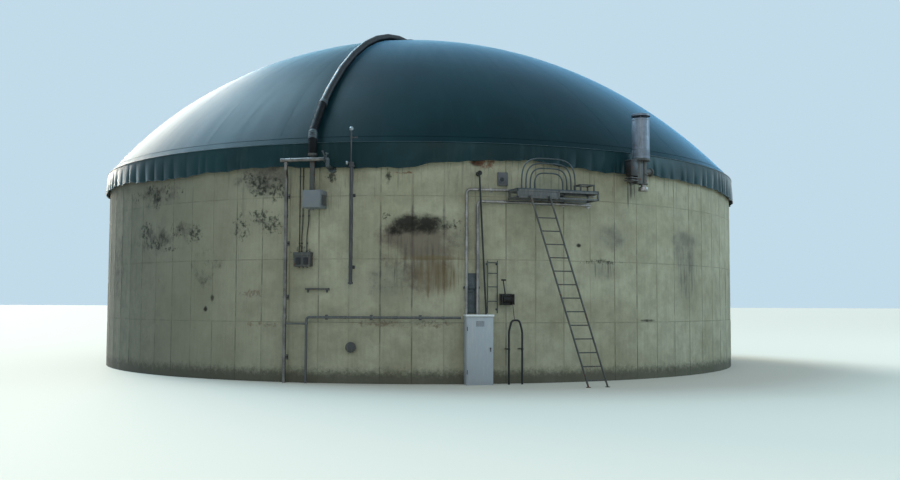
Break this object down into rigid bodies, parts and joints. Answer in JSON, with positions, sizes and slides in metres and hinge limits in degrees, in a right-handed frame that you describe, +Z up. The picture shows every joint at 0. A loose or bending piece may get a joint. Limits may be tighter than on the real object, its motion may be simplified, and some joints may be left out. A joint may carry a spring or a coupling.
{
  "type": "biogas digester",
  "caption": "Biogas digester: round concrete tank under a cambered green gas membrane, with wall pipework, service platform and relief device.",
  "frame": {"origin": "centre of the floor slab's underside, on the tank axis at ground level", "axes": "+Z up along the tank axis; -Y towards the service side with the pipework; +X to the right of someone who faces that side"},
  "size_m": [20.2166, 21.0147, 10.6196],
  "materials": {
    "painted_concrete": "cream paint on formed concrete, stained and patched",
    "raw_concrete": "plain cast concrete",
    "green_membrane": "coated fabric, satin, dark green",
    "green_skirt": "coated fabric, folded, dark green",
    "black_hose": "matt black rubber",
    "stainless_steel": "mill finish, weathered",
    "galvanised_steel": "dull zinc, weathered",
    "dark_steel": "dark, part rusted",
    "grey_plastic": "grey housing",
    "cabinet_paint": "light grey paint, worn"
  },
  "bodies": {
    "root": {"wall_01": "painted_concrete", "wall_02": "painted_concrete", "wall_03": "painted_concrete", "wall_04": "painted_concrete", "wall_05": "painted_concrete", "wall_06": "painted_concrete", "wall_07": "painted_concrete", "wall_08": "painted_concrete", "wall_09": "painted_concrete", "wall_10": "painted_concrete", "wall_11": "painted_concrete", "wall_12": "painted_concrete", "floor_slab": "raw_concrete", "clamp_rail": "galvanised_steel", "roof_membrane": "green_membrane", "membrane_skirt": "green_skirt", "air_hose_upper": "black_hose", "air_hose_lower": "black_hose", "hose_coupling": "galvanised_steel", "crown_cuff": "galvanised_steel", "air_duct": "dark_steel", "blower_box": "grey_plastic", "junction_box": "dark_steel", "wall_cables": "black_hose", "wall_ledge": "dark_steel", "gas_riser": "stainless_steel", "rim_pipe": "stainless_steel", "rim_elbow": "dark_steel", "standpipe": "dark_steel", "probe_mast": "dark_steel", "low_pipe": "dark_steel", "heating_flow": "stainless_steel", "heating_return": "stainless_steel", "pipe_bracket": "dark_steel", "manifold_cabinet": "cabinet_paint", "platform_frame": "dark_steel", "platform_floor": "galvanised_steel", "platform_guard": "galvanised_steel", "platform_step": "dark_steel", "access_ladder": "dark_steel", "short_ladder": "galvanised_steel", "guide_pole": "black_hose", "sight_glass": "grey_plastic", "mixer_winch": "dark_steel", "rope_hoop": "black_hose", "wall_port": "dark_steel", "relief_body": "galvanised_steel", "relief_trap": "stainless_steel", "relief_cap": "stainless_steel", "relief_vessel": "stainless_steel"}
  },
  "joints": []
}
